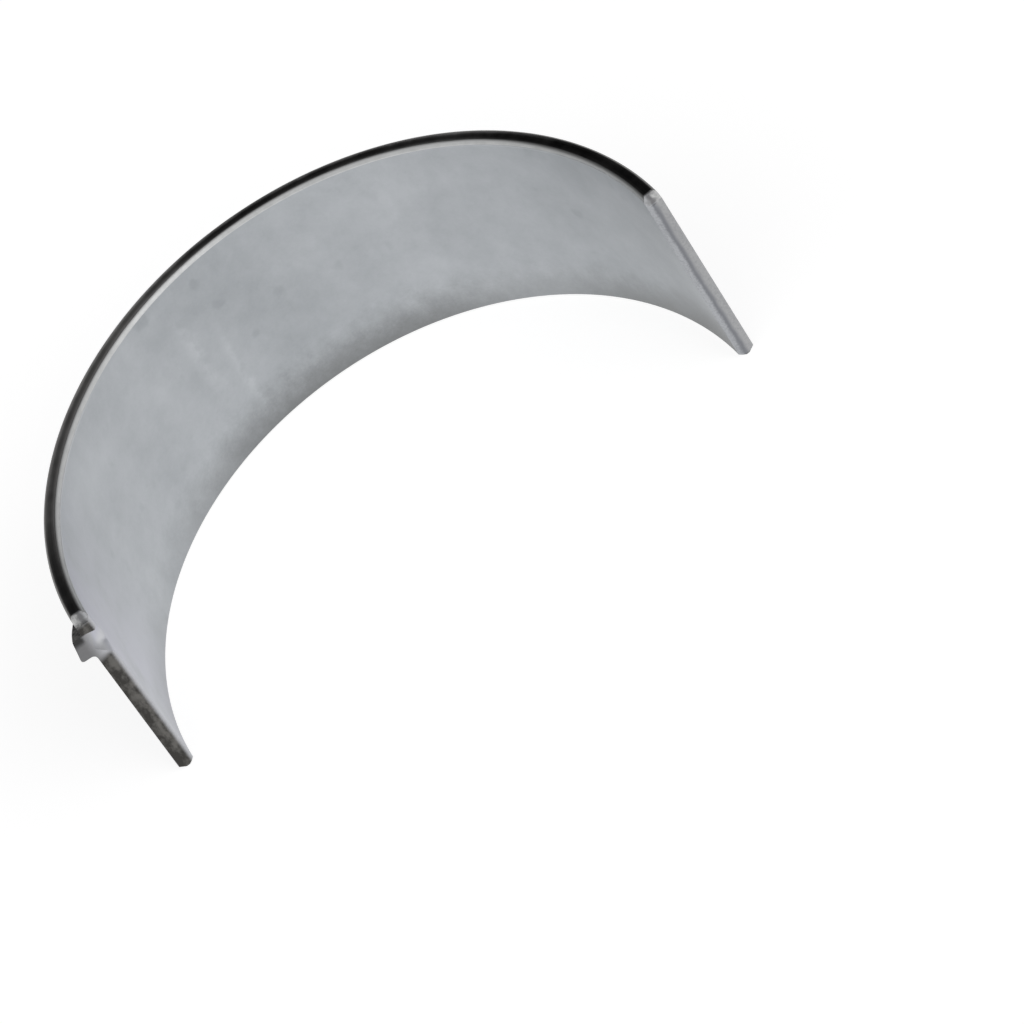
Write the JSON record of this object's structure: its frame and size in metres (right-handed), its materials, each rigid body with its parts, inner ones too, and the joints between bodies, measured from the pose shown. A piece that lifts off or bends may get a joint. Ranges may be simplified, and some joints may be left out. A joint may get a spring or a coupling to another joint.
{
  "type": "engine bearing shell",
  "caption": "Thin half-round plain bearing shell with a lined bore, broken edges and one pressed locating tang, seated in a split housing to carry a rotating journal.",
  "frame": {"origin": "on the axis of the free shell's bore, midway along its width", "axes": "+Z along the bore axis towards the end face beside the tang, +Y towards the crown, +X towards the plain end"},
  "size_m": [0.0648, 0.0306, 0.0226],
  "materials": {
    "shell": "bonded matt grey lining in the bore, drawn steel back with axial streaks, dark sheared edges"
  },
  "bodies": {
    "root": {"bearing_shell": "shell"}
  },
  "joints": []
}
